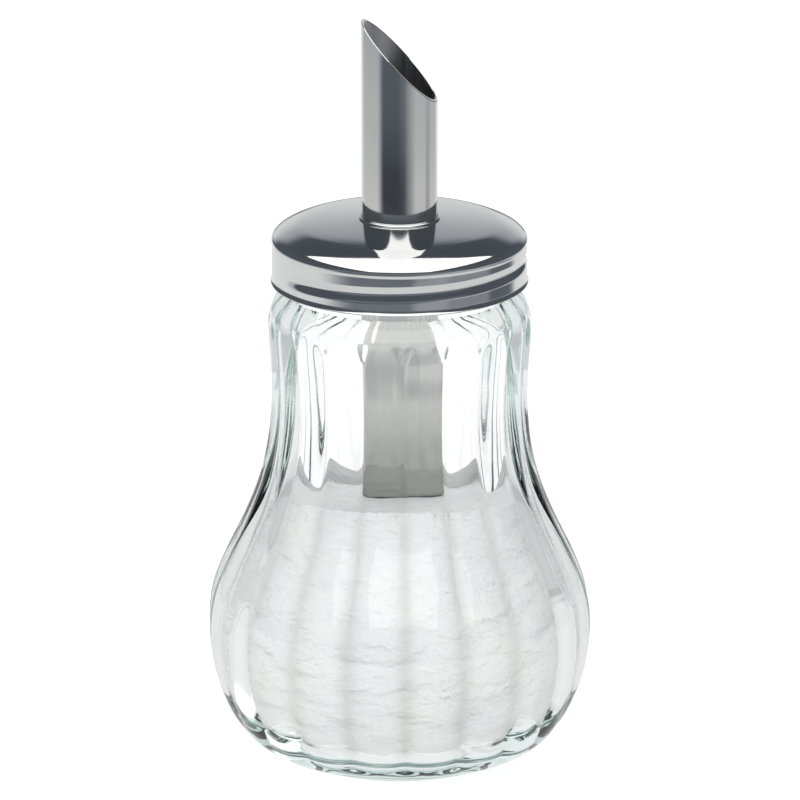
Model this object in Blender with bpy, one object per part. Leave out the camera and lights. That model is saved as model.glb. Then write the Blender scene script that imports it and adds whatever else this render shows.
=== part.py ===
"""Glass sugar pourer: a lobed glass jar, a steel screw lid and a dosing tube through the lid.

The jar stands on the XY plane with its axis on +Z. The tall tip of the pour tube is at -X.
All lengths are in millimetres, and MM turns them into metres where a mesh is made.
"""

import math

import bmesh
import bpy

MM = 0.001

# Jar: crest radius of the outside at each height, as (height, radius)
JAR_OUTLINE = (
    (0.0, 19.6),
    (1.2, 22.6),
    (3.9, 28.6),
    (7.8, 32.5),
    (13.0, 35.2),
    (19.6, 37.2),
    (27.0, 38.0),
    (34.0, 37.2),
    (41.0, 34.5),
    (49.0, 30.7),
    (56.7, 27.8),
    (64.6, 26.1),
    (73.0, 25.35),
    (80.0, 25.45),
    (87.5, 25.95),
    (91.0, 25.6),
    (93.4, 24.6),
    (94.9, 23.3),
    (95.6, 22.3),
)
# Jar: the smooth inner wall from the floor's corner to the mouth, as (height, radius)
CAVITY_OUTLINE = (
    (6.2, 18.0),
    (7.4, 25.6),
    (11.0, 30.2),
    (17.0, 33.1),
    (26.5, 34.2),
    (34.0, 33.4),
    (41.0, 30.7),
    (49.0, 27.0),
    (56.7, 24.1),
    (64.6, 22.4),
    (73.0, 21.6),
    (84.0, 21.3),
    (93.0, 20.2),
    (98.0, 19.6),
)
FLOOR_HEIGHT = 6.0
PUSH_UP_HEIGHT = 1.1
STANDING_RING_INNER = 16.4
STANDING_RING_EDGE = 17.2
RIM_HEIGHT = 105.9
RIM_ROUND = 0.8
NECK_RADIUS = 22.3
MOUTH_RADIUS = 19.6

# Twenty convex lobes with a groove between each two
LOBE_COUNT = 20
LOBE_DEPTH = 0.95
GROOVE_AZIMUTH = math.radians(271.85)
LOBES_START = (4.0, 13.0)
LOBES_END = (88.0, 93.0)
STEPS_PER_LOBE = 4

# Right-handed thread, shared by the lid's rolled groove and the jar's ridge
THREAD_PITCH = 3.6
THREAD_REACH_UP = 0.8
THREAD_REACH_DOWN = 1.7
THREAD_HEIGHT_AT_FRONT = 101.4
FRONT_AZIMUTH = math.radians(270)
LID_THREAD_START = math.radians(150)
LID_THREAD_END = math.radians(510)
LID_THREAD_DEPTH = 0.4
LID_GROOVE_RAISE = 0.4
LID_GROOVE_UP = 1.5
LID_GROOVE_DOWN = 1.8
JAR_THREAD_START = math.radians(-40)
JAR_THREAD_END = math.radians(340)
JAR_THREAD_DEPTH = 1.5
THREAD_RUN_OUT = math.radians(25)
NECK_ROWS = 12

# Lid: the outside of its dome and round shoulder down to the skirt, as (radius, height)
DOME_OUTLINE = (
    (8.2, 110.2),
    (12.0, 109.98),
    (15.5, 109.7),
    (18.0, 109.42),
    (19.9, 109.1),
    (21.6, 108.55),
    (23.0, 107.95),
    (23.95, 107.4),
    (24.6, 106.8),
    (24.95, 106.2),
    (25.05, 105.6),
)
SHEET = 0.5
SKIRT_RADIUS = 25.0
SKIRT_TOP = 104.9
HEM_RADIUS = 25.3
HEM_BOTTOM = 97.4
HEM_HEIGHT = 1.2
COLLAR_HEIGHT = 0.5
SKIRT_ROWS = 16
LID_STEPS = 48

# Pour tube
TUBE_RADIUS = 7.4
TUBE_WALL = 0.5
TUBE_TOP = 149.8
TUBE_BOTTOM = 20.0
MOUTH_SLANT = math.radians(47)
MOUTH_TURN = math.radians(-5.4)
TUBE_STEPS = 48
FIT_GAP = 0.3

# Rings under the lid
WASHER_RADIUS = 11.5
WASHER_THICKNESS = 1.0
SEAL_INNER = 19.3
SEAL_OUTER = 22.2
SEAL_THICKNESS = 1.2

# Sugar
SUGAR_LEVEL = 54.2
SUGAR_RISE_TO_FRONT = 3.0
SUGAR_FALL_TO_BACK = 6.3
SUGAR_LUMP = 0.35
SUGAR_WALL_GAP = 0.5
SUGAR_COLUMN_TOP = 53.2
SUGAR_STEPS = 40


def remove_scene_objects():
    for item in list(bpy.data.objects):
        bpy.data.objects.remove(item, do_unlink=True)


def smooth_step(value):
    """0 below 0, 1 above 1, and a smooth rise between."""
    value = min(max(value, 0.0), 1.0)
    return value * value * (3.0 - 2.0 * value)


def curve_radius(outline, height):
    """Radius at a height on the smooth curve through an outline's (height, radius) points."""
    last = len(outline) - 1
    if height <= outline[0][0]:
        return outline[0][1]
    if height >= outline[last][0]:
        return outline[last][1]
    index = max(i for i in range(last) if outline[i][0] <= height)

    def slope(i):
        low = outline[max(i - 1, 0)]
        high = outline[min(i + 1, last)]
        return (high[1] - low[1]) / (high[0] - low[0])

    start = outline[index]
    end = outline[index + 1]
    span = end[0] - start[0]
    t = (height - start[0]) / span
    rise = t * t * (3.0 - 2.0 * t)
    leave = t * (1.0 - t) * (1.0 - t) * span * slope(index)
    arrive = t * t * (t - 1.0) * span * slope(index + 1)
    return start[1] + (end[1] - start[1]) * rise + leave + arrive


def lobe_offset(azimuth, height):
    """How far the glass lies inside the crest radius, deepest at the groove between two lobes."""
    pitch = 2.0 * math.pi / LOBE_COUNT
    across = ((azimuth - GROOVE_AZIMUTH) / pitch) % 1.0
    from_crest = abs(2.0 * across - 1.0)
    low = smooth_step((height - LOBES_START[0]) / (LOBES_START[1] - LOBES_START[0]))
    high = smooth_step((LOBES_END[1] - height) / (LOBES_END[1] - LOBES_END[0]))
    return LOBE_DEPTH * from_crest * from_crest * low * high


def thread_bump(azimuth, height, start, end, shift, reach_up, reach_down):
    """0 to 1: the cross-section of a helical ridge whose ends fade out, raised by shift."""
    best = 0.0
    for turn in (-1, 0, 1, 2):
        along = azimuth + 2.0 * math.pi * turn
        if not start <= along <= end:
            continue
        centre = THREAD_HEIGHT_AT_FRONT + shift
        centre += THREAD_PITCH * (along - FRONT_AZIMUTH) / (2.0 * math.pi)
        reach = reach_up if height > centre else reach_down
        distance = abs(height - centre) / reach
        if distance < 1.0:
            fade = min(along - start, end - along) / THREAD_RUN_OUT
            best = max(best, (1.0 - distance * distance) * smooth_step(fade))
    return best


def turned_solid(name, section, steps, closed, material):
    """A closed body from a section that may change with its azimuth.

    section(azimuth) gives (radius, height) points. A closed section is a loop away from the
    axis; an open one starts and ends on the axis.
    """
    mesh = bmesh.new()
    azimuths = [2.0 * math.pi * step / steps for step in range(steps)]
    sections = [section(azimuth) for azimuth in azimuths]
    count = len(sections[0])
    poles = {}
    if not closed:
        for index in (0, count - 1):
            poles[index] = mesh.verts.new((0.0, 0.0, sections[0][index][1] * MM))
    columns = []
    for azimuth, points in zip(azimuths, sections):
        column = []
        for index, (radius, height) in enumerate(points):
            if index in poles:
                column.append(poles[index])
                continue
            x = radius * math.cos(azimuth) * MM
            y = radius * math.sin(azimuth) * MM
            column.append(mesh.verts.new((x, y, height * MM)))
        columns.append(column)
    links = [(index, index + 1) for index in range(count - 1)]
    if closed:
        links.append((count - 1, 0))
    for step, here in enumerate(columns):
        there = columns[(step + 1) % steps]
        for first, second in links:
            corners = [here[first], there[first], there[second], here[second]]
            unique = list(dict.fromkeys(corners))
            mesh.faces.new(unique)
    bmesh.ops.recalc_face_normals(mesh, faces=mesh.faces)
    data = bpy.data.meshes.new(name)
    mesh.to_mesh(data)
    mesh.free()
    data.shade_smooth()
    data.set_sharp_from_angle(angle=math.radians(35))
    data.materials.append(material)
    body = bpy.data.objects.new(name, data)
    bpy.context.collection.objects.link(body)
    return body


def make_material(name, colour, roughness, metallic, transmission=0.0):
    material = bpy.data.materials.new(name)
    material.use_nodes = True
    shader = material.node_tree.nodes["Principled BSDF"]
    shader.inputs["Base Color"].default_value = (*colour, 1.0)
    shader.inputs["Roughness"].default_value = roughness
    shader.inputs["Metallic"].default_value = metallic
    shader.inputs["Transmission Weight"].default_value = transmission
    return material


def spaced(low, high, count):
    """count values from low to high, both included."""
    return [low + (high - low) * index / (count - 1) for index in range(count)]


def make_jar():
    """The glass: lobed outside, thick base, smooth cavity, and a neck with a thread ridge."""
    heights = [height for height, radius in JAR_OUTLINE]
    body_heights = sorted(heights + [45.0, 84.0])
    neck_heights = spaced(JAR_OUTLINE[-1][0] + 0.6, RIM_HEIGHT - RIM_ROUND, NECK_ROWS)

    def section(azimuth):
        points = [(0.0, PUSH_UP_HEIGHT), (STANDING_RING_INNER * 0.6, PUSH_UP_HEIGHT * 0.9)]
        points.append((STANDING_RING_INNER, 0.3))
        points.append((STANDING_RING_EDGE, 0.0))
        for height in body_heights:
            radius = curve_radius(JAR_OUTLINE, height) - lobe_offset(azimuth, height)
            points.append((radius, height))
        for height in neck_heights:
            bump = thread_bump(
                azimuth, height, JAR_THREAD_START, JAR_THREAD_END, THREAD_PITCH / 2.0,
                THREAD_REACH_UP, THREAD_REACH_DOWN,
            )
            points.append((NECK_RADIUS + JAR_THREAD_DEPTH * bump, height))
        points.append((NECK_RADIUS - RIM_ROUND, RIM_HEIGHT))
        points.append((MOUTH_RADIUS + RIM_ROUND, RIM_HEIGHT))
        points.append((MOUTH_RADIUS, RIM_HEIGHT - RIM_ROUND))
        for height, radius in reversed(CAVITY_OUTLINE):
            points.append((radius, height))
        points.append((0.0, FLOOR_HEIGHT))
        return points

    glass = make_material("clear_glass", (0.88, 0.93, 0.91), 0.03, 0.0, transmission=0.95)
    return turned_solid("glass_jar", section, LOBE_COUNT * STEPS_PER_LOBE, False, glass)


def inward(path, distance):
    """A path of (radius, height) points moved to its right by a distance, as seen along it."""
    moved = []
    for index, (radius, height) in enumerate(path):
        before = path[max(index - 1, 0)]
        after = path[min(index + 1, len(path) - 1)]
        along = (after[0] - before[0], after[1] - before[1])
        length = math.hypot(*along)
        moved.append((radius + distance * along[1] / length, height - distance * along[0] / length))
    return moved


def make_lid(steel):
    """One pressed sheet: collar, dome, round shoulder, threaded skirt and curled hem."""
    hole = TUBE_RADIUS + FIT_GAP
    collar_foot = DOME_OUTLINE[0]
    skirt_heights = spaced(SKIRT_TOP, HEM_BOTTOM + HEM_HEIGHT, SKIRT_ROWS)

    def section(azimuth):
        skirt = []
        for height in skirt_heights:
            bump = thread_bump(
                azimuth, height, LID_THREAD_START, LID_THREAD_END, LID_GROOVE_RAISE,
                LID_GROOVE_UP, LID_GROOVE_DOWN,
            )
            skirt.append((SKIRT_RADIUS - LID_THREAD_DEPTH * bump, height))
        points = [(hole, collar_foot[1] + COLLAR_HEIGHT)]
        points.append((collar_foot[0], collar_foot[1] + COLLAR_HEIGHT))
        points += list(DOME_OUTLINE) + skirt
        points.append((HEM_RADIUS, HEM_BOTTOM + 0.8))
        points.append((HEM_RADIUS, HEM_BOTTOM + 0.3))
        points.append((SKIRT_RADIUS, HEM_BOTTOM))
        points.append((SKIRT_RADIUS - 1.2 * SHEET, HEM_BOTTOM + 0.2))
        for radius, height in reversed(skirt):
            points.append((radius - SHEET, height))
        points += reversed(inward(DOME_OUTLINE, SHEET)[1:])
        points.append((hole, collar_foot[1] - SHEET))
        return points

    return turned_solid("screw_cap", section, LID_STEPS, True, steel)


def make_ring(name, inner, outer, bottom, thickness, steps, material):
    """A flat ring with square edges."""
    top = bottom + thickness

    def section(azimuth):
        return [(inner, bottom), (outer, bottom), (outer, top), (inner, top)]

    return turned_solid(name, section, steps, True, material)


def make_tube(steel):
    """The pour tube, cut square at its dosing end and at a slant at its mouth."""
    inner = TUBE_RADIUS - TUBE_WALL
    length = TUBE_TOP - TUBE_BOTTOM
    tube = make_ring("pour_tube", inner, TUBE_RADIUS, TUBE_BOTTOM, length, TUBE_STEPS, steel)
    size = 8.0 * TUBE_RADIUS
    bpy.ops.mesh.primitive_cube_add(size=size * MM)
    cutter = bpy.context.object
    cutter.name = "mouth_cutter"
    cutter.rotation_euler = (0.0, MOUTH_SLANT, MOUTH_TURN)
    # the cutter's lower face crosses the tube's axis halfway between the tip and the low side
    middle = TUBE_TOP - TUBE_RADIUS * math.tan(MOUTH_SLANT)
    reach = size / 2.0
    outward = reach * math.sin(MOUTH_SLANT)
    cutter.location = (
        outward * math.cos(MOUTH_TURN) * MM,
        outward * math.sin(MOUTH_TURN) * MM,
        (middle + reach * math.cos(MOUTH_SLANT)) * MM,
    )
    cutter.hide_render = True
    cutter.display_type = "WIRE"
    cut = tube.modifiers.new("slant_mouth", "BOOLEAN")
    cut.operation = "DIFFERENCE"
    cut.solver = "EXACT"
    cut.object = cutter
    return tube


def make_sugar():
    """The sugar: it fills the jar round the tube, and stands as a column inside the tube."""
    slot_outer = TUBE_RADIUS + FIT_GAP + 0.1
    slot_inner = TUBE_RADIUS - TUBE_WALL - FIT_GAP - 0.1
    slot_floor = TUBE_BOTTOM - FIT_GAP - 0.1

    def surface_height(azimuth, radius):
        """Higher at the front than at the back, with two soft waves."""
        reach = radius / curve_radius(CAVITY_OUTLINE, SUGAR_LEVEL)
        slope = SUGAR_FALL_TO_BACK if math.sin(azimuth) > 0.0 else SUGAR_RISE_TO_FRONT
        waves = math.sin(3.0 * azimuth + 0.6) + 0.6 * math.cos(5.0 * azimuth)
        return SUGAR_LEVEL + (SUGAR_LUMP * waves - slope * math.sin(azimuth)) * reach

    def wall_radius(height):
        return curve_radius(CAVITY_OUTLINE, height) - SUGAR_WALL_GAP

    buried_wall = [height for height, radius in CAVITY_OUTLINE if height < SUGAR_LEVEL - 4.0]

    def section(azimuth):
        bottom = FLOOR_HEIGHT + SUGAR_WALL_GAP
        points = [(0.0, bottom), (17.0, bottom + 0.2)]
        points.append((wall_radius(buried_wall[1]), buried_wall[1] + SUGAR_WALL_GAP))
        for height in buried_wall[2:]:
            points.append((wall_radius(height), height))
        edge = wall_radius(SUGAR_LEVEL)
        edge_height = surface_height(azimuth, edge)
        points.append((wall_radius(edge_height) - 0.3, edge_height))
        for radius in (18.0, 12.5, slot_outer):
            points.append((radius, surface_height(azimuth, radius)))
        points.append((slot_outer, slot_floor))
        points.append((slot_inner, slot_floor))
        points.append((slot_inner, SUGAR_COLUMN_TOP))
        points.append((0.0, SUGAR_COLUMN_TOP + 0.4))
        return points

    sugar = make_material("white_sugar", (0.93, 0.92, 0.89), 0.85, 0.0)
    return turned_solid("sugar_fill", section, SUGAR_STEPS, False, sugar)


def main():
    remove_scene_objects()
    polished = make_material("polished_steel_lid", (0.72, 0.73, 0.74), 0.06, 1.0)
    tube_steel = make_material("polished_steel_tube", (0.70, 0.71, 0.72), 0.07, 1.0)
    washer_steel = make_material("plain_steel_washer", (0.6, 0.6, 0.61), 0.3, 1.0)
    liner = make_material("pale_liner", (0.86, 0.86, 0.84), 0.6, 0.0)

    make_jar()
    make_sugar()
    lid = make_lid(polished)
    tube = make_tube(tube_steel)
    washer_bottom = DOME_OUTLINE[0][1] - SHEET - 2.0 * FIT_GAP - WASHER_THICKNESS
    washer = make_ring(
        "tube_retaining_ring",
        TUBE_RADIUS + FIT_GAP,
        WASHER_RADIUS,
        washer_bottom,
        WASHER_THICKNESS,
        TUBE_STEPS,
        washer_steel,
    )
    seal = make_ring(
        "seal_ring", SEAL_INNER, SEAL_OUTER, RIM_HEIGHT + FIT_GAP, SEAL_THICKNESS, LID_STEPS, liner
    )

    lid_axis = bpy.data.objects.new("lid_axis", None)
    bpy.context.collection.objects.link(lid_axis)
    for piece in (lid, tube, washer, seal):
        piece.parent = lid_axis


main()
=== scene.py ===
"""The looks of the glass sugar pourer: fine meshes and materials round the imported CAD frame."""

import math

import bmesh
import bpy
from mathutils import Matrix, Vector, noise


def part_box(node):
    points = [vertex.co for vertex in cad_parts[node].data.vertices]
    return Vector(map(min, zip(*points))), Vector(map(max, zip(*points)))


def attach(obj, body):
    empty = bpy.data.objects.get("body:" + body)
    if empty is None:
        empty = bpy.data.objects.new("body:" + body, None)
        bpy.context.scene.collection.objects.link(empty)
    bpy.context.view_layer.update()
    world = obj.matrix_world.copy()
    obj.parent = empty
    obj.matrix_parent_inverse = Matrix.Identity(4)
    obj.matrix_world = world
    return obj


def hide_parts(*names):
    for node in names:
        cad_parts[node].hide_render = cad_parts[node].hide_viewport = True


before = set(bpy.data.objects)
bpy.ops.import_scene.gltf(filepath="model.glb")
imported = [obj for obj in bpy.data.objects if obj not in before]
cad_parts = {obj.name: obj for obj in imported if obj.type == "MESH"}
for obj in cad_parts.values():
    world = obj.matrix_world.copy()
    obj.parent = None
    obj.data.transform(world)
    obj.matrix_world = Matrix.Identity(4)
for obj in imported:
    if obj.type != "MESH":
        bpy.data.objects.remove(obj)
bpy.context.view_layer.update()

MM = 0.001

# ---------------------------------------------------------------- sizes, in millimetres


def box_mm(node):
    """A CAD node's lowest and highest corners in millimetres."""
    low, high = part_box(node)
    return low / MM, high / MM


RIM_HEIGHT = box_mm("glass_jar")[1].z
CAP_LOW, CAP_HIGH = box_mm("screw_cap")
TUBE_LOW, TUBE_HIGH = box_mm("pour_tube")

# Jar: crest radius of the outside, as (height, radius), the same curve that the CAD jar follows
JAR_OUTLINE = (
    (0.0, 19.6),
    (1.2, 22.6),
    (3.9, 28.6),
    (7.8, 32.5),
    (13.0, 35.2),
    (19.6, 37.2),
    (27.0, 38.0),
    (34.0, 37.2),
    (41.0, 34.5),
    (49.0, 30.7),
    (56.7, 27.8),
    (64.6, 26.1),
    (73.0, 25.35),
    (80.0, 25.45),
    (87.5, 25.95),
    (91.0, 25.6),
    (93.4, 24.6),
    (94.9, 23.3),
    (95.6, 22.3),
)
CAVITY_OUTLINE = (
    (6.2, 18.0),
    (7.4, 25.6),
    (11.0, 30.2),
    (17.0, 33.1),
    (26.5, 34.2),
    (34.0, 33.4),
    (41.0, 30.7),
    (49.0, 27.0),
    (56.7, 24.1),
    (64.6, 22.4),
    (73.0, 21.6),
    (84.0, 21.3),
    (93.0, 20.2),
    (98.0, 19.6),
)
FLOOR_HEIGHT = 6.0
FLOOR_CENTRE = ((17.0, 6.15), (9.0, 6.03), (0.0, FLOOR_HEIGHT))
# the underside's shallow push-up and the flat standing ring, as (radius, height)
PUSH_UP_HEIGHT = 1.1
UNDERSIDE = (
    (0.0, PUSH_UP_HEIGHT),
    (10.0, PUSH_UP_HEIGHT * 0.95),
    (14.0, 0.8),
    (16.4, 0.2),
    (17.2, 0.0),
    (19.2, 0.0),
)
RIM_ROUND = 0.8
NECK_RADIUS = 22.3
MOUTH_RADIUS = 19.6

LOBE_COUNT = 20
LOBE_DEPTH = 0.95
GROOVE_ROUND = 0.13
# keeps the finely stepped crests inside the coarser CAD jar's box
CREST_EASE = 0.006
GROOVE_AZIMUTH = math.radians(271.85)
LOBES_START = (4.0, 13.0)
LOBES_END = (88.0, 93.0)
LOBE_END_STEEPNESS = 1.4
ARCH_DROP = 2.6
JAR_STEPS = LOBE_COUNT * 20

THREAD_PITCH = 3.6
THREAD_REACH_UP = 0.8
THREAD_REACH_DOWN = 1.7
THREAD_HEIGHT_AT_FRONT = 101.4
FRONT_AZIMUTH = math.radians(270)
LID_THREAD_START = math.radians(205)
LID_THREAD_END = math.radians(510)
LID_THREAD_DEPTH = 0.4
LID_GROOVE_RAISE = 0.4
LID_GROOVE_UP = 1.5
LID_GROOVE_DOWN = 1.8
JAR_THREAD_START = math.radians(-40)
JAR_THREAD_END = math.radians(340)
JAR_THREAD_DEPTH = 1.5
THREAD_RUN_OUT = math.radians(25)

# Lid: the outside of its dome and round shoulder down to the skirt, as (radius, height)
DOME_OUTLINE = (
    (8.2, 110.2),
    (12.0, 109.98),
    (15.5, 109.7),
    (18.0, 109.42),
    (19.9, 109.1),
    (21.6, 108.55),
    (23.0, 107.95),
    (23.95, 107.4),
    (24.6, 106.8),
    (24.95, 106.2),
    (25.05, 105.6),
)
SHEET = 0.5
SKIRT_RADIUS = 25.0
SKIRT_TOP = 104.9
HEM_RADIUS = CAP_HIGH.x - 0.03
HEM_BOTTOM = CAP_LOW.z
BEAD_RADIUS = 0.3
BEAD_RAISE = 0.15
BORE_CLEARANCE = 0.05
HEM_CURL = 0.16
DOME_STEPS = 7
CAP_STEPS = 240

TUBE_RADIUS = 7.4
TUBE_WALL = 0.5
TUBE_TOP = TUBE_HIGH.z
TUBE_BOTTOM = TUBE_LOW.z
MOUTH_SLANT = math.radians(47)
MOUTH_TURN = math.radians(-5.4)
EDGE_ROUND = 0.12
TUBE_STEPS = 144
TUBE_SHARP_ANGLE = 18

SUGAR_LEVEL = 54.2
SUGAR_RISE_TO_FRONT = 3.0
SUGAR_FALL_TO_BACK = 6.3
SUGAR_LUMP = 0.35
SUGAR_WALL_GAP = 0.5
SUGAR_COLUMN_TOP = 53.2
SUGAR_STEPS = 360
SLOT_GAP = 0.3
SLOT_DEPTH = 0.4

# Painted shade on the tube: its colour is fully darkened below the low height and unchanged above
# the top one
TUBE_SHADE_LOW = 58.0
TUBE_SHADE_TOP = 86.0
TUBE_SHADE_COLOUR = (0.40, 0.40, 0.37, 1.0)

# Painted shade along the grooves of the jar, as a vertex layer that the glass reads
GROOVE_SHADE_LAYER = "groove"
GROOVE_PAINTED_SHADE = (0.81, 0.805, 0.785)
GROOVE_FADE_IN = 10.0
GROOVE_FADE_OUT = 8.0
GROOVE_ABOVE_SUGAR = 0.25

# Studio: light levels, with 1 as white; lengths in metres and lamp powers in watts
FLOOR_GLOW = 0.88
FLOOR_BOUNCE = 0.48
SOFTBOX_LEVEL = 1.7
CARD_LEVEL = 1.5
ROOM_LIFT = 0.62
TABLE_LIFT = 0.5
TABLE_HALF = 6.0
KEY_LIGHT = {"place": (-0.15, -0.75, 0.75), "size": (0.5, 0.4), "power": 2.75}
FILL_LIGHT = {"place": (0.1, 0.75, 0.5), "size": (0.5, 0.3), "power": 2.5}
LIGHT_TARGET = (0.0, 0.0, 0.05)
GLOSSY_BOUNCES = 12
MAX_BOUNCES = 20

# Camera
ELEVATION = math.radians(17.5)
DISTANCE = 1.364
TARGET = (0.0001, 0.0, 0.07275)
LENS_MM = 311.8


# ---------------------------------------------------------------- shapes


def smooth_step(value):
    """0 below 0, 1 above 1, and a smooth rise between."""
    value = min(max(value, 0.0), 1.0)
    return value * value * (3.0 - 2.0 * value)


def curve_radius(outline, height):
    """Radius at a height on the smooth curve through an outline's (height, radius) points."""
    last = len(outline) - 1
    if height <= outline[0][0]:
        return outline[0][1]
    if height >= outline[last][0]:
        return outline[last][1]
    index = max(i for i in range(last) if outline[i][0] <= height)

    def slope(i):
        low = outline[max(i - 1, 0)]
        high = outline[min(i + 1, last)]
        return (high[1] - low[1]) / (high[0] - low[0])

    start = outline[index]
    end = outline[index + 1]
    span = end[0] - start[0]
    t = (height - start[0]) / span
    rise = t * t * (3.0 - 2.0 * t)
    leave = t * (1.0 - t) * (1.0 - t) * span * slope(index)
    arrive = t * t * (t - 1.0) * span * slope(index + 1)
    return start[1] + (end[1] - start[1]) * rise + leave + arrive


def spaced(low, high, count):
    """count values from low to high, both included."""
    return [low + (high - low) * index / (count - 1) for index in range(count)]


def turned_mesh(name, section, steps, closed, material, sharp=50):
    """A closed body from a section of (radius, height) points that may change with its azimuth.

    A closed section is a loop away from the axis; an open one starts and ends on the axis.
    """
    sections = [section(2.0 * math.pi * step / steps) for step in range(steps)]
    count = len(sections[0])
    vertices = []
    if not closed:
        vertices.append((0.0, 0.0, sections[0][0][1] * MM))
        vertices.append((0.0, 0.0, sections[0][-1][1] * MM))
    rows = range(count) if closed else range(1, count - 1)
    index_of = {}
    for step, points in enumerate(sections):
        azimuth = 2.0 * math.pi * step / steps
        for row in rows:
            radius, height = points[row]
            index_of[step, row] = len(vertices)
            x = radius * math.cos(azimuth) * MM
            y = radius * math.sin(azimuth) * MM
            vertices.append((x, y, height * MM))

    def corner(step, row):
        if not closed and row == 0:
            return 0
        if not closed and row == count - 1:
            return 1
        return index_of[step % steps, row]

    links = [(row, row + 1) for row in range(count - 1)]
    if closed:
        links.append((count - 1, 0))
    faces = []
    for step in range(steps):
        for first, second in links:
            corners = (
                corner(step, first),
                corner(step + 1, first),
                corner(step + 1, second),
                corner(step, second),
            )
            faces.append(tuple(dict.fromkeys(corners)))
    data = bpy.data.meshes.new(name)
    data.from_pydata(vertices, [], faces)
    work = bmesh.new()
    work.from_mesh(data)
    bmesh.ops.recalc_face_normals(work, faces=work.faces)
    work.to_mesh(data)
    work.free()
    data.shade_smooth()
    data.set_sharp_from_angle(angle=math.radians(sharp))
    data.materials.append(material)
    piece = bpy.data.objects.new(name, data)
    bpy.context.scene.collection.objects.link(piece)
    return piece


def groove_share(azimuth):
    """1 at the grooves between the jar's lobes, falling to 0 at their crests."""
    lobes = math.cos(LOBE_COUNT * (azimuth - GROOVE_AZIMUTH))
    return (0.5 + 0.5 * lobes) ** 5


def lobe_offset(azimuth, height):
    """How far the glass lies inside the crest radius, deepest at the groove between two lobes."""
    pitch = 2.0 * math.pi / LOBE_COUNT
    across = ((azimuth - GROOVE_AZIMUTH) / pitch) % 1.0
    from_crest = abs(2.0 * across - 1.0)
    from_groove = 1.0 - from_crest
    softened = math.hypot(from_groove, GROOVE_ROUND)
    fall = (1.0 - min(softened, 1.0)) ** 2
    low = smooth_step((height - LOBES_START[0]) / (LOBES_START[1] - LOBES_START[0]))
    top = LOBES_END[1] - ARCH_DROP * from_crest ** 4
    high = smooth_step((top - height) / (LOBES_END[1] - LOBES_END[0]) * LOBE_END_STEEPNESS)
    return LOBE_DEPTH * fall * low * high


def thread_bump(azimuth, height, start, end, shift, reach_up, reach_down):
    """0 to 1: the cross-section of a helical ridge whose ends fade out, raised by shift."""
    best = 0.0
    for turn in (-1, 0, 1, 2):
        along = azimuth + 2.0 * math.pi * turn
        if not start <= along <= end:
            continue
        centre = THREAD_HEIGHT_AT_FRONT + shift
        centre += THREAD_PITCH * (along - FRONT_AZIMUTH) / (2.0 * math.pi)
        reach = reach_up if height > centre else reach_down
        distance = abs(height - centre) / reach
        if distance < 1.0:
            fade = min(along - start, end - along) / THREAD_RUN_OUT
            round_top = 1.0 - smooth_step(distance)
            best = max(best, round_top * smooth_step(fade))
    return best


# ---------------------------------------------------------------- materials


class Nodes:
    """Short calls for building one material's node tree."""

    def __init__(self, name):
        self.material = bpy.data.materials.new(name)
        self.material.use_nodes = True
        self.tree = self.material.node_tree
        self.shader = self.tree.nodes["Principled BSDF"]
        self.output = self.tree.nodes["Material Output"]

    def add(self, kind, **values):
        node = self.tree.nodes.new(kind)
        for key, value in values.items():
            setattr(node, key, value)
        return node

    def link(self, source, target):
        self.tree.links.new(source, target)

    def set(self, **values):
        for key, value in values.items():
            self.shader.inputs[key.replace("_", " ")].default_value = value

    def place(self):
        """The object's own coordinates, in metres."""
        return self.add("ShaderNodeTexCoord").outputs["Object"]

    def grain(self, scale, detail=4.0, roughness=0.5, stretch=(1.0, 1.0, 1.0)):
        """A noise pattern with scale features a metre, stretched along each axis."""
        mapping = self.add("ShaderNodeMapping")
        mapping.inputs["Scale"].default_value = stretch
        self.link(self.place(), mapping.inputs["Vector"])
        pattern = self.add("ShaderNodeTexNoise")
        pattern.inputs["Scale"].default_value = scale
        pattern.inputs["Detail"].default_value = detail
        pattern.inputs["Roughness"].default_value = roughness
        self.link(mapping.outputs["Vector"], pattern.inputs["Vector"])
        return pattern.outputs["Fac"]

    def ramp(self, value, stops):
        """Colours by value, from (position, colour) stops."""
        ramp = self.add("ShaderNodeValToRGB")
        elements = ramp.color_ramp.elements
        while len(elements) < len(stops):
            elements.new(0.5)
        for element, (position, colour) in zip(elements, stops):
            element.position = position
            element.color = (*colour, 1.0)
        self.link(value, ramp.inputs["Fac"])
        return ramp.outputs["Color"]

    def range(self, value, low, high, to_low, to_high):
        node = self.add("ShaderNodeMapRange")
        node.inputs["From Min"].default_value = low
        node.inputs["From Max"].default_value = high
        node.inputs["To Min"].default_value = to_low
        node.inputs["To Max"].default_value = to_high
        self.link(value, node.inputs["Value"])
        return node.outputs["Result"]

    def bump(self, value, strength, distance, below=None):
        node = self.add("ShaderNodeBump")
        node.inputs["Strength"].default_value = strength
        node.inputs["Distance"].default_value = distance
        self.link(value, node.inputs["Height"])
        if below is not None:
            self.link(below, node.inputs["Normal"])
        return node.outputs["Normal"]


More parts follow.
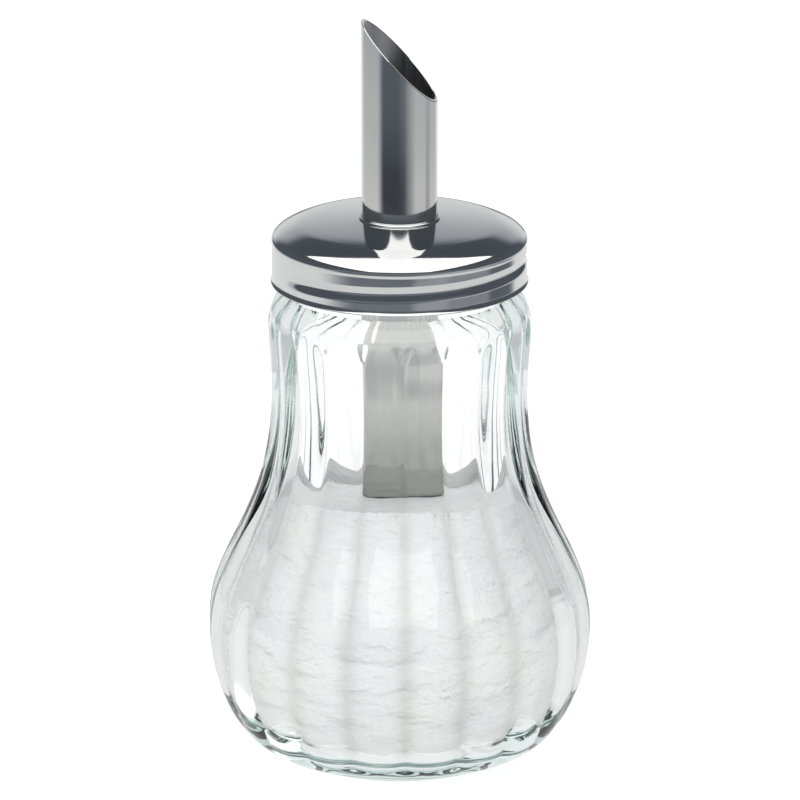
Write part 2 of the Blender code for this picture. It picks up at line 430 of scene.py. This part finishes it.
def glass_material():
    """Pressed clear glass: slightly wavy skin, and a body that turns green where it is thick."""
    nodes = Nodes("clear_glass")
    nodes.set(Roughness=0.0, IOR=1.5, Transmission_Weight=1.0)
    waves = nodes.grain(95.0, detail=1.5, stretch=(1.0, 1.0, 0.35))
    nodes.link(nodes.bump(waves, 0.25, 0.0006), nodes.shader.inputs["Normal"])
    # the grooves between the lobes are tinted slightly grey, which is painted shade
    grooves = nodes.add("ShaderNodeAttribute", attribute_name=GROOVE_SHADE_LAYER)
    tint = nodes.ramp(grooves.outputs["Fac"], ((0.0, (1.0, 1.0, 1.0)), (1.0, GROOVE_PAINTED_SHADE)))
    nodes.link(tint, nodes.shader.inputs["Base Color"])
    body = nodes.add("ShaderNodeVolumeAbsorption")
    body.inputs["Color"].default_value = (0.30, 0.80, 0.68, 1.0)
    body.inputs["Density"].default_value = 7.0
    nodes.link(body.outputs["Volume"], nodes.output.inputs["Volume"])
    clear = nodes.add("ShaderNodeBsdfTransparent")
    clear.inputs["Color"].default_value = (0.985, 0.99, 0.99, 1.0)
    path = nodes.add("ShaderNodeLightPath")
    mix = nodes.add("ShaderNodeMixShader")
    nodes.link(path.outputs["Is Shadow Ray"], mix.inputs["Fac"])
    nodes.link(nodes.shader.outputs["BSDF"], mix.inputs[1])
    nodes.link(clear.outputs["BSDF"], mix.inputs[2])
    nodes.link(mix.outputs["Shader"], nodes.output.inputs["Surface"])
    return nodes.material


def polished_material(name, tint, roughness, stretch):
    """Polished stainless steel: faint drawing or spinning marks, soft waves and matt smudges.

    From TUBE_SHADE_TOP down to TUBE_SHADE_LOW its colour turns to a darker, warmer grey, which is
    painted shade. Only the tube reaches down there.
    """
    nodes = Nodes(name)
    smudges = nodes.grain(60.0, detail=3.0)
    low = tuple(channel * 0.96 for channel in tint)
    colour = nodes.ramp(smudges, ((0.35, low), (0.65, tint)))
    studio = Studio(nodes.tree)
    height = studio.split(nodes.place())[2]
    # painted shade: the tube's colour turns darker and warmer towards its lower end
    painted_shade = studio.soft(height, TUBE_SHADE_LOW * MM, TUBE_SHADE_TOP * MM, 1.0, 0.0)
    mixed = nodes.add("ShaderNodeMix", data_type="RGBA")
    ends = [socket for socket in mixed.inputs if socket.type == "RGBA"]
    nodes.link(painted_shade, mixed.inputs["Factor"])
    nodes.link(colour, ends[0])
    ends[1].default_value = TUBE_SHADE_COLOUR
    result = next(socket for socket in mixed.outputs if socket.type == "RGBA")
    nodes.link(result, nodes.shader.inputs["Base Color"])
    marks = nodes.grain(1400.0, detail=2.0, stretch=stretch)
    worn = nodes.range(smudges, 0.3, 0.75, roughness, roughness * 1.7)
    nodes.link(worn, nodes.shader.inputs["Roughness"])
    nodes.set(Metallic=1.0)
    waves = nodes.grain(70.0, detail=1.0)
    fine = nodes.bump(marks, 0.06, 0.00005)
    nodes.link(nodes.bump(waves, 0.06, 0.0005, below=fine), nodes.shader.inputs["Normal"])
    return nodes.material


def bore_material():
    """The tube's unpolished inside: a duller drawn surface with faint lengthwise marks."""
    nodes = Nodes("tube_bore")
    marks = nodes.grain(1800.0, detail=3.0, stretch=(1.0, 1.0, 0.03))
    colour = nodes.ramp(marks, ((0.3, (0.45, 0.45, 0.46)), (0.7, (0.53, 0.53, 0.54))))
    nodes.link(colour, nodes.shader.inputs["Base Color"])
    nodes.link(nodes.range(marks, 0.3, 0.7, 0.30, 0.38), nodes.shader.inputs["Roughness"])
    nodes.set(Metallic=1.0)
    nodes.link(nodes.bump(marks, 0.07, 0.0001), nodes.shader.inputs["Normal"])
    return nodes.material


def washer_material():
    """Plain stamped steel with a satin face."""
    nodes = Nodes("plain_steel")
    marks = nodes.grain(900.0, detail=3.0, stretch=(1.0, 1.0, 0.2))
    colour = nodes.ramp(marks, ((0.3, (0.50, 0.50, 0.51)), (0.7, (0.62, 0.62, 0.63))))
    nodes.link(colour, nodes.shader.inputs["Base Color"])
    nodes.link(nodes.range(marks, 0.3, 0.7, 0.26, 0.38), nodes.shader.inputs["Roughness"])
    nodes.set(Metallic=1.0)
    nodes.link(nodes.bump(marks, 0.1, 0.0001), nodes.shader.inputs["Normal"])
    return nodes.material


def liner_material():
    """A pale soft liner with a slightly mottled face."""
    nodes = Nodes("pale_liner")
    mottle = nodes.grain(500.0, detail=4.0)
    colour = nodes.ramp(mottle, ((0.3, (0.78, 0.78, 0.75)), (0.7, (0.86, 0.86, 0.83))))
    nodes.link(colour, nodes.shader.inputs["Base Color"])
    nodes.link(nodes.range(mottle, 0.3, 0.7, 0.5, 0.65), nodes.shader.inputs["Roughness"])
    nodes.link(nodes.bump(mottle, 0.15, 0.0001), nodes.shader.inputs["Normal"])
    return nodes.material


def sugar_material():
    """White granulated sugar: bright grains, softly warm in patches, with a glint on some."""
    nodes = Nodes("white_sugar")
    patches = nodes.grain(75.0, detail=3.0)
    grains = nodes.add("ShaderNodeTexVoronoi")
    grains.inputs["Scale"].default_value = 1500.0
    nodes.link(nodes.place(), grains.inputs["Vector"])
    whites = (
        (0.3, (0.88, 0.88, 0.89)),
        (0.55, (0.92, 0.915, 0.915)),
        (0.75, (0.95, 0.935, 0.91)),
    )
    nodes.link(nodes.ramp(patches, whites), nodes.shader.inputs["Base Color"])
    nodes.link(
        nodes.range(grains.outputs["Distance"], 0.0, 0.6, 0.35, 0.8),
        nodes.shader.inputs["Roughness"],
    )
    nodes.set(
        Subsurface_Weight=0.12,
        Subsurface_Radius=(1.0, 1.0, 1.0),
        Subsurface_Scale=0.0015,
    )
    lumps = nodes.grain(170.0, detail=2.0, stretch=(0.7, 0.7, 1.5))
    clumps = nodes.grain(330.0, detail=5.0, roughness=0.65, stretch=(0.6, 0.6, 1.3))
    soft = nodes.bump(clumps, 0.45, 0.0011, below=nodes.bump(lumps, 0.7, 0.0022))
    nodes.link(
        nodes.bump(grains.outputs["Distance"], 0.5, 0.0003, below=soft),
        nodes.shader.inputs["Normal"],
    )
    return nodes.material


# ---------------------------------------------------------------- pieces


def make_jar(material):
    body_heights = spaced(0.0, 8.0, 18)[1:] + spaced(8.0, 80.0, 90)[1:]
    body_heights += spaced(80.0, JAR_OUTLINE[-1][0], 34)[1:]
    neck_heights = spaced(JAR_OUTLINE[-1][0] + 0.4, RIM_HEIGHT - RIM_ROUND, 26)
    cavity_heights = spaced(98.0, 12.0, 50) + spaced(11.0, 6.4, 10)
    arc = [math.radians(angle) for angle in (22.5, 45.0, 67.5)]

    def section(azimuth):
        points = list(UNDERSIDE)
        for height in body_heights:
            radius = curve_radius(JAR_OUTLINE, height) - lobe_offset(azimuth, height)
            points.append((radius - CREST_EASE, height))
        for height in neck_heights:
            bump = thread_bump(
                azimuth, height, JAR_THREAD_START, JAR_THREAD_END, THREAD_PITCH / 2.0,
                THREAD_REACH_UP, THREAD_REACH_DOWN,
            )
            points.append((NECK_RADIUS + JAR_THREAD_DEPTH * bump, height))
        for angle in arc:
            radius = NECK_RADIUS - RIM_ROUND * (1.0 - math.cos(angle))
            points.append((radius, RIM_HEIGHT - RIM_ROUND * (1.0 - math.sin(angle))))
        points += [(NECK_RADIUS - RIM_ROUND, RIM_HEIGHT), (MOUTH_RADIUS + RIM_ROUND, RIM_HEIGHT)]
        for angle in reversed(arc):
            radius = MOUTH_RADIUS + RIM_ROUND * (1.0 - math.cos(angle))
            points.append((radius, RIM_HEIGHT - RIM_ROUND * (1.0 - math.sin(angle))))
        points.append((MOUTH_RADIUS, RIM_HEIGHT - RIM_ROUND))
        for height in cavity_heights:
            points.append((curve_radius(CAVITY_OUTLINE, height), height))
        points += FLOOR_CENTRE
        return points

    jar = turned_mesh("jar_glass", section, JAR_STEPS, False, material)
    # painted shade along the grooves: full beside the sugar, faint above it, none on the inside or
    # up at the neck
    layer = jar.data.attributes.new(GROOVE_SHADE_LAYER, "FLOAT", "POINT")
    for vertex, entry in zip(jar.data.vertices, layer.data):
        x, y, z = vertex.co / MM
        middle = curve_radius(JAR_OUTLINE, z) + curve_radius(CAVITY_OUTLINE, z)
        if 2.0 * math.hypot(x, y) < middle:
            continue
        low = smooth_step((z - LOBES_START[0]) / GROOVE_FADE_IN)
        faded = (1.0 - GROOVE_ABOVE_SUGAR) * smooth_step((z - SUGAR_LEVEL) / GROOVE_FADE_OUT)
        high = 1.0 - faded
        if z > LOBES_END[0]:
            high = 0.0
        entry.value = groove_share(math.atan2(y, x)) * low * high
    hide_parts("glass_jar")
    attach(jar, "jar")


def smooth_path(points, per):
    """A finer path through (radius, height) points, with per steps between each two."""
    path = []
    last = len(points) - 1
    for index in range(last):
        a = Vector(points[max(index - 1, 0)])
        b = Vector(points[index])
        c = Vector(points[index + 1])
        d = Vector(points[min(index + 2, last)])
        for step in range(per):
            t = step / per
            bend = (c - a) * t + (2.0 * a - 5.0 * b + 4.0 * c - d) * t ** 2
            bend += (3.0 * b - a - 3.0 * c + d) * t ** 3
            path.append(tuple(b + bend / 2.0))
    path.append(tuple(points[last]))
    return path


def inward(path, distance):
    """A path of (radius, height) points moved to its right by a distance, as seen along it."""
    moved = []
    for index, (radius, height) in enumerate(path):
        before = path[max(index - 1, 0)]
        after = path[min(index + 1, len(path) - 1)]
        along = (after[0] - before[0], after[1] - before[1])
        length = math.hypot(*along)
        moved.append((radius + distance * along[1] / length, height - distance * along[0] / length))
    return moved


def make_cap(material):
    """The pressed lid: a small bead round the tube, dome, shoulder, skirt and curled hem."""
    hole = TUBE_RADIUS + BORE_CLEARANCE
    foot = (hole + 2.0 * BEAD_RADIUS + BEAD_RAISE, DOME_OUTLINE[0][1] + 0.01)
    dome = smooth_path([foot, *DOME_OUTLINE[1:], (SKIRT_RADIUS, SKIRT_TOP)], DOME_STEPS)
    skirt_heights = spaced(SKIRT_TOP, HEM_BOTTOM + 1.0, 56)[1:]

    def section(azimuth):
        points = [(hole, foot[1] + 0.1)]
        for angle in range(180, -31, -21):
            turn = math.radians(angle)
            radius = hole + BEAD_RADIUS * (1.0 + math.cos(turn))
            points.append((radius, foot[1] + BEAD_RAISE + BEAD_RADIUS * math.sin(turn)))
        points += dome
        skirt = []
        for height in skirt_heights:
            bump = thread_bump(
                azimuth, height, LID_THREAD_START, LID_THREAD_END, LID_GROOVE_RAISE,
                LID_GROOVE_UP, LID_GROOVE_DOWN,
            )
            skirt.append((SKIRT_RADIUS - LID_THREAD_DEPTH * bump, height))
        points += skirt
        for angle in range(60, -121, -20):
            turn = math.radians(angle)
            radius = HEM_RADIUS - HEM_CURL + HEM_CURL * math.cos(turn)
            points.append((radius, HEM_BOTTOM + HEM_CURL + HEM_CURL * math.sin(turn)))
        for radius, height in reversed(skirt):
            points.append((radius - SHEET, height))
        points += reversed(inward(dome, SHEET)[2:])
        points.append((hole, foot[1] - SHEET))
        return points

    cap = turned_mesh("lid_cap", section, CAP_STEPS, True, material)
    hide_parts("screw_cap")
    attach(cap, "lid")


def make_tube(material):
    """The tube with its slanted mouth; the cut edge is rounded over slightly."""
    inner = TUBE_RADIUS - TUBE_WALL
    edge = EDGE_ROUND

    def mouth_height(azimuth, radius):
        fall = TUBE_RADIUS + radius * math.cos(azimuth - MOUTH_TURN)
        return TUBE_TOP - fall * math.tan(MOUTH_SLANT)

    def section(azimuth):
        outer_top = mouth_height(azimuth, TUBE_RADIUS)
        inner_top = mouth_height(azimuth, inner)
        bottom = TUBE_BOTTOM
        points = [(inner + edge, bottom), (TUBE_RADIUS - edge, bottom)]
        points.append((TUBE_RADIUS, bottom + edge))
        for share in spaced(0.02, 0.98, 24):
            points.append((TUBE_RADIUS, bottom + edge + (outer_top - bottom - 3 * edge) * share))
        points.append((TUBE_RADIUS, outer_top - edge))
        points.append((TUBE_RADIUS - edge, mouth_height(azimuth, TUBE_RADIUS - edge)))
        points.append((inner + edge, mouth_height(azimuth, inner + edge)))
        points.append((inner, inner_top - edge))
        for share in spaced(0.98, 0.02, 24):
            points.append((inner, bottom + edge + (inner_top - bottom - 3 * edge) * share))
        points.append((inner, bottom + edge))
        return points

    tube = turned_mesh("dosing_tube", section, TUBE_STEPS, True, material, TUBE_SHARP_ANGLE)
    tube.data.materials.append(bore_material())
    for face in tube.data.polygons:
        middle = face.center
        outward = middle.x * face.normal.x + middle.y * face.normal.y
        if outward < 0.0 and abs(face.normal.z) < 0.3:
            face.material_index = 1
    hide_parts("pour_tube")
    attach(tube, "lid")


def make_sugar(material):
    """Sugar round the tube and inside it, with a grainy, slightly clumped surface."""
    slot_outer = TUBE_RADIUS + SLOT_GAP
    slot_inner = TUBE_RADIUS - TUBE_WALL - SLOT_GAP
    slot_floor = TUBE_BOTTOM - SLOT_DEPTH
    wall_heights = spaced(7.9, SUGAR_LEVEL - 1.6, 90)

    def surface_height(azimuth, radius):
        reach = radius / curve_radius(CAVITY_OUTLINE, SUGAR_LEVEL)
        slope = SUGAR_FALL_TO_BACK if math.sin(azimuth) > 0.0 else SUGAR_RISE_TO_FRONT
        waves = math.sin(3.0 * azimuth + 0.6) + 0.6 * math.cos(5.0 * azimuth)
        x = radius * math.cos(azimuth)
        y = radius * math.sin(azimuth)
        clumps = 0.35 * noise.noise(Vector((x * 0.45, y * 0.45, 1.7)))
        grains = 0.3 * noise.noise(Vector((x * 1.9, y * 1.9, 8.2)))
        large = (SUGAR_LUMP * waves - slope * math.sin(azimuth)) * reach
        return SUGAR_LEVEL + large + clumps + grains

    def wall_radius(azimuth, height):
        x = 30.0 * math.cos(azimuth)
        y = 30.0 * math.sin(azimuth)
        clumps = noise.noise(Vector((x * 0.17, y * 0.17, height * 0.42)))
        lumps = noise.noise(Vector((x * 0.5, y * 0.5, height * 0.9 + 5.0)))
        grains = noise.noise(Vector((x * 1.4, y * 1.4, height * 1.6)))
        settle = 0.16 * clumps + 0.12 * lumps + 0.08 * grains
        return curve_radius(CAVITY_OUTLINE, height) - SUGAR_WALL_GAP + settle

    def section(azimuth):
        bottom = FLOOR_HEIGHT + SUGAR_WALL_GAP
        points = [(0.0, bottom), (10.0, bottom + 0.1), (17.0, bottom + 0.25)]
        points += [(22.0, bottom + 0.75)]
        for height in wall_heights:
            points.append((wall_radius(azimuth, height), height))
        edge = wall_radius(azimuth, SUGAR_LEVEL)
        edge_height = surface_height(azimuth, edge)
        points.append((wall_radius(azimuth, edge_height) - 0.15, edge_height - 0.35))
        for radius in spaced(edge - 1.0, slot_outer, 30):
            points.append((radius, surface_height(azimuth, radius)))
        points.append((slot_outer, slot_floor))
        points.append((slot_inner, slot_floor))
        for radius in spaced(slot_inner, 0.9, 10):
            x = radius * math.cos(azimuth)
            y = radius * math.sin(azimuth)
            grains = 0.3 * noise.noise(Vector((x * 1.7, y * 1.7, 4.0)))
            points.append((radius, SUGAR_COLUMN_TOP + grains))
        points.append((0.0, SUGAR_COLUMN_TOP))
        return points

    sugar = turned_mesh("sugar_grains", section, SUGAR_STEPS, False, material)
    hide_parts("sugar_fill")
    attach(sugar, "jar")


def dress_cad_node(node, material):
    """Give a carried-over CAD node its own material."""
    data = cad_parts[node].data
    data.materials.clear()
    data.materials.append(material)


# ---------------------------------------------------------------- studio


class Studio:
    """Node arithmetic for light levels that change with direction or place."""

    def __init__(self, tree):
        self.tree = tree

    def calc(self, operation, first, second=0.0):
        node = self.tree.nodes.new("ShaderNodeMath")
        node.operation = operation
        for socket, value in zip(node.inputs, (first, second)):
            if isinstance(value, (int, float)):
                socket.default_value = value
            else:
                self.tree.links.new(value, socket)
        return node.outputs["Value"]

    def soft(self, value, low, high, to_low=0.0, to_high=1.0):
        """to_low up to low, to_high from high on, and a smooth change between."""
        node = self.tree.nodes.new("ShaderNodeMapRange")
        node.interpolation_type = "SMOOTHSTEP"
        names = ("From Min", "From Max", "To Min", "To Max")
        for name, number in zip(names, (low, high, to_low, to_high)):
            node.inputs[name].default_value = number
        self.tree.links.new(value, node.inputs["Value"])
        return node.outputs["Result"]

    def band(self, value, start, end, soft):
        """1 between start and end, falling to 0 over soft on both sides."""
        rise = self.soft(value, start - soft, start)
        return self.calc("MULTIPLY", rise, self.soft(value, end, end + soft, 1.0, 0.0))

    def both(self, first, second):
        """Where two masks overlap."""
        return self.calc("MULTIPLY", first, second)

    def blend(self, base, mask, level):
        """base where mask is 0, level where it is 1."""
        kept = self.calc("MULTIPLY", base, self.calc("SUBTRACT", 1.0, mask))
        return self.calc("ADD", kept, self.calc("MULTIPLY", mask, level))

    def lifted(self, path, level, floor):
        """The level, raised towards 1 for light that has come through glass."""
        through = self.calc("GREATER_THAN", path.outputs["Transmission Depth"], 0.5)
        paler = self.calc("ADD", self.calc("MULTIPLY", level, 1.0 - floor), floor)
        return self.blend(level, through, paler)

    def turn(self, x, y):
        """Degrees round from the front, positive towards +X, and the same without its sign."""
        angle = self.calc("ARCTAN2", x, self.calc("MULTIPLY", y, -1.0))
        turn = self.calc("MULTIPLY", angle, 180.0 / math.pi)
        return turn, self.calc("ABSOLUTE", turn)

    def split(self, vector):
        node = self.tree.nodes.new("ShaderNodeSeparateXYZ")
        self.tree.links.new(vector, node.inputs["Vector"])
        return node.outputs["X"], node.outputs["Y"], node.outputs["Z"]

    def cooled(self, level):
        """The level as a colour: shadows lean to blue and bright parts stay neutral."""
        lack = self.calc("MAXIMUM", self.calc("SUBTRACT", 1.0, level), 0.0)
        lean = self.calc("MULTIPLY", level, self.calc("POWER", lack, 3.0))
        colour = self.tree.nodes.new("ShaderNodeCombineColor")
        self.tree.links.new(level, colour.inputs["Red"])
        for name, share in (("Green", 0.2), ("Blue", 0.46)):
            channel = self.calc("ADD", level, self.calc("MULTIPLY", lean, share))
            self.tree.links.new(channel, colour.inputs[name])
        return colour.outputs["Color"]


def make_world():
    """The room above the table: dim all round, a pale wall behind and a softbox overhead."""
    world = bpy.data.worlds.new("studio")
    bpy.context.scene.world = world
    world.use_nodes = True
    tree = world.node_tree
    studio = Studio(tree)
    direction = tree.nodes.new("ShaderNodeTexCoord").outputs["Generated"]
    x, y, z = studio.split(direction)
    turn, around = studio.turn(x, y)
    height = studio.calc("MULTIPLY", studio.calc("ARCSINE", z), 180.0 / math.pi)

    level = studio.soft(height, 5.0, 60.0, 0.09, 0.07)
    low_front = studio.both(
        studio.band(turn, -45.0, 50.0, 20.0), studio.soft(height, 3.0, 12.0, 1.0, 0.0)
    )
    level = studio.blend(level, low_front, 0.17)
    wall = studio.soft(height, 6.0, 26.0, 0.75, 0.38)
    inside = studio.both(
        studio.soft(around, 142.0, 162.0), studio.soft(height, 23.0, 32.0, 1.0, 0.0)
    )
    level = studio.blend(level, inside, wall)
    # the overhead softbox is a rectangle on a ceiling plane
    rise = studio.calc("MAXIMUM", z, 0.02)
    across = studio.band(studio.calc("DIVIDE", x, rise), -1.05, 1.05, 0.04)
    along = studio.band(studio.calc("DIVIDE", y, rise), -2.05, 0.5, 0.05)
    level = studio.blend(level, studio.both(across, along), SOFTBOX_LEVEL)
    # seen straight on, the room is a plain pale backdrop
    path = tree.nodes.new("ShaderNodeLightPath")
    level = studio.lifted(path, level, ROOM_LIFT)
    level = studio.blend(level, path.outputs["Is Camera Ray"], 1.0)
    background = tree.nodes["Background"]
    tree.links.new(studio.cooled(level), background.inputs["Color"])
    background.inputs["Strength"].default_value = 1.0


def make_floor():
    """A pale table. Mirrored in steel or glass, it ends in front and dark room shows beyond."""
    nodes = Nodes("pale_table")
    nodes.set(Base_Color=(0.2, 0.2, 0.2, 1.0), Roughness=0.8, Specular_IOR_Level=0.0)
    nodes.shader.inputs["Emission Color"].default_value = (1.0, 1.0, 1.0, 1.0)
    studio = Studio(nodes.tree)
    path = nodes.add("ShaderNodeLightPath")
    glow = studio.blend(FLOOR_GLOW, path.outputs["Is Diffuse Ray"], FLOOR_BOUNCE)
    nodes.link(glow, nodes.shader.inputs["Emission Strength"])
    x, y = studio.split(nodes.add("ShaderNodeNewGeometry").outputs["Position"])[:2]
    turn, around = studio.turn(x, y)
    x_squared = studio.calc("MULTIPLY", x, x)
    y_squared = studio.calc("MULTIPLY", y, y)
    away = studio.calc("SQRT", studio.calc("ADD", x_squared, y_squared))

    # far off, the table gets dimmer and ends in dark room, except behind the pourer
    far = studio.soft(away, 0.34, 0.50, 0.76, 0.56)
    far = studio.blend(far, studio.soft(around, 132.0, 158.0), 0.92)
    far = studio.blend(far, studio.band(around, 168.0, 200.0, 5.0), 0.30)
    far = studio.blend(far, studio.band(turn, 90.0, 100.0, 8.0), 0.45)
    ends = studio.both(studio.soft(away, 0.5, 0.8), studio.soft(around, 150.0, 168.0, 1.0, 0.0))
    edge = studio.blend(0.08, studio.band(turn, -45.0, 50.0, 20.0), 0.17)
    far = studio.blend(far, ends, edge)
    # the dark sector in front, which the dome mirrors, gets lighter towards +X
    dark = studio.soft(away, 0.40, 0.51, 0.03, 0.11)
    middle = studio.soft(away, 0.40, 0.51, 0.05, 0.17)
    dark = studio.blend(dark, studio.soft(turn, -8.0, 16.0), middle)
    right = studio.soft(away, 0.40, 0.51, 0.30, 0.38)
    dark = studio.blend(dark, studio.soft(turn, 12.0, 34.0), right)
    dark = studio.blend(dark, studio.soft(away, 0.55, 0.70), 0.19)
    sector = studio.both(studio.soft(turn, -72.0, -48.0), studio.soft(turn, 28.0, 54.0, 1.0, 0.0))
    far = studio.blend(far, sector, dark)
    # the band of table that the lid's skirt mirrors
    front = studio.both(studio.soft(turn, -78.0, -42.0), studio.soft(turn, 116.0, 128.0, 1.0, 0.0))
    near = studio.blend(0.84, front, 0.26)
    near = studio.blend(near, studio.band(turn, -38.0, 6.0, 12.0), 0.19)
    near = studio.blend(near, studio.band(turn, 18.0, 38.0, 10.0), 0.36)
    near = studio.blend(near, studio.band(turn, 90.0, 112.0, 8.0), 0.12)
    level = studio.blend(near, studio.soft(away, 0.382, 0.396), far)
    # nearer still, the plain table
    level = studio.blend(0.80, studio.soft(away, 0.26, 0.33), level)
    level = studio.lifted(path, level, TABLE_LIFT)
    # a bright card low on the left, there only for mirrored paths that came through glass
    close = studio.soft(away, 0.215, 0.245, 1.0, 0.0)
    beside = studio.both(studio.band(turn, -94.0, -80.0, 5.0), close)
    through = studio.calc("GREATER_THAN", path.outputs["Transmission Depth"], 0.5)
    level = studio.blend(level, studio.both(beside, through), CARD_LEVEL)

    mirror = nodes.add("ShaderNodeEmission")
    nodes.link(studio.cooled(level), mirror.inputs["Color"])
    mirrored = studio.calc("GREATER_THAN", path.outputs["Glossy Depth"], 0.5)
    mix = nodes.add("ShaderNodeMixShader")
    nodes.link(mirrored, mix.inputs["Fac"])
    nodes.link(nodes.shader.outputs["BSDF"], mix.inputs[1])
    nodes.link(mirror.outputs["Emission"], mix.inputs[2])
    nodes.link(mix.outputs["Shader"], nodes.output.inputs["Surface"])
    data = bpy.data.meshes.new("table")
    signs = ((-1, -1), (1, -1), (1, 1), (-1, 1))
    corners = [(TABLE_HALF * across, TABLE_HALF * along, 0.0) for across, along in signs]
    data.from_pydata(corners, [], [(0, 1, 2, 3)])
    data.materials.append(nodes.material)
    table = bpy.data.objects.new("table", data)
    bpy.context.scene.collection.objects.link(table)


def add_light(name, place, size, power):
    """A soft lamp aimed at the pourer, which neither steel, glass nor camera sees."""
    data = bpy.data.lights.new(name, "AREA")
    data.shape = "RECTANGLE"
    data.size, data.size_y = size
    data.energy = power
    light = bpy.data.objects.new(name, data)
    bpy.context.scene.collection.objects.link(light)
    light.location = place
    aim = Vector(LIGHT_TARGET) - Vector(place)
    light.rotation_euler = aim.to_track_quat("-Z", "Y").to_euler()
    light.visible_glossy = False
    light.visible_camera = False
    light.visible_transmission = False


def make_camera():
    """A long lens a little above the pourer, looking along +Y."""
    data = bpy.data.cameras.new("camera")
    data.lens = LENS_MM
    data.sensor_width = 36.0
    data.clip_start = 0.01
    data.clip_end = 50.0
    camera = bpy.data.objects.new("camera", data)
    bpy.context.scene.collection.objects.link(camera)
    back = Vector((0.0, -math.cos(ELEVATION), math.sin(ELEVATION)))
    camera.location = Vector(TARGET) + back * DISTANCE
    camera.rotation_euler = (-back).to_track_quat("-Z", "Y").to_euler()
    bpy.context.scene.camera = camera


def main():
    bpy.context.scene.view_settings.view_transform = "Standard"
    make_camera()
    make_world()
    make_floor()
    add_light("key_front", **KEY_LIGHT)
    add_light("fill_back", **FILL_LIGHT)
    # light crosses the thick glass base many times before it leaves
    cycles = bpy.context.scene.cycles
    cycles.glossy_bounces = GLOSSY_BOUNCES
    cycles.max_bounces = MAX_BOUNCES

    make_jar(glass_material())
    make_cap(polished_material("polished_lid", (0.74, 0.745, 0.745), 0.05, (1.0, 1.0, 0.5)))
    make_tube(polished_material("polished_tube", (0.735, 0.735, 0.72), 0.055, (1.0, 1.0, 0.02)))
    make_sugar(sugar_material())
    dress_cad_node("tube_retaining_ring", washer_material())
    dress_cad_node("seal_ring", liner_material())


main()
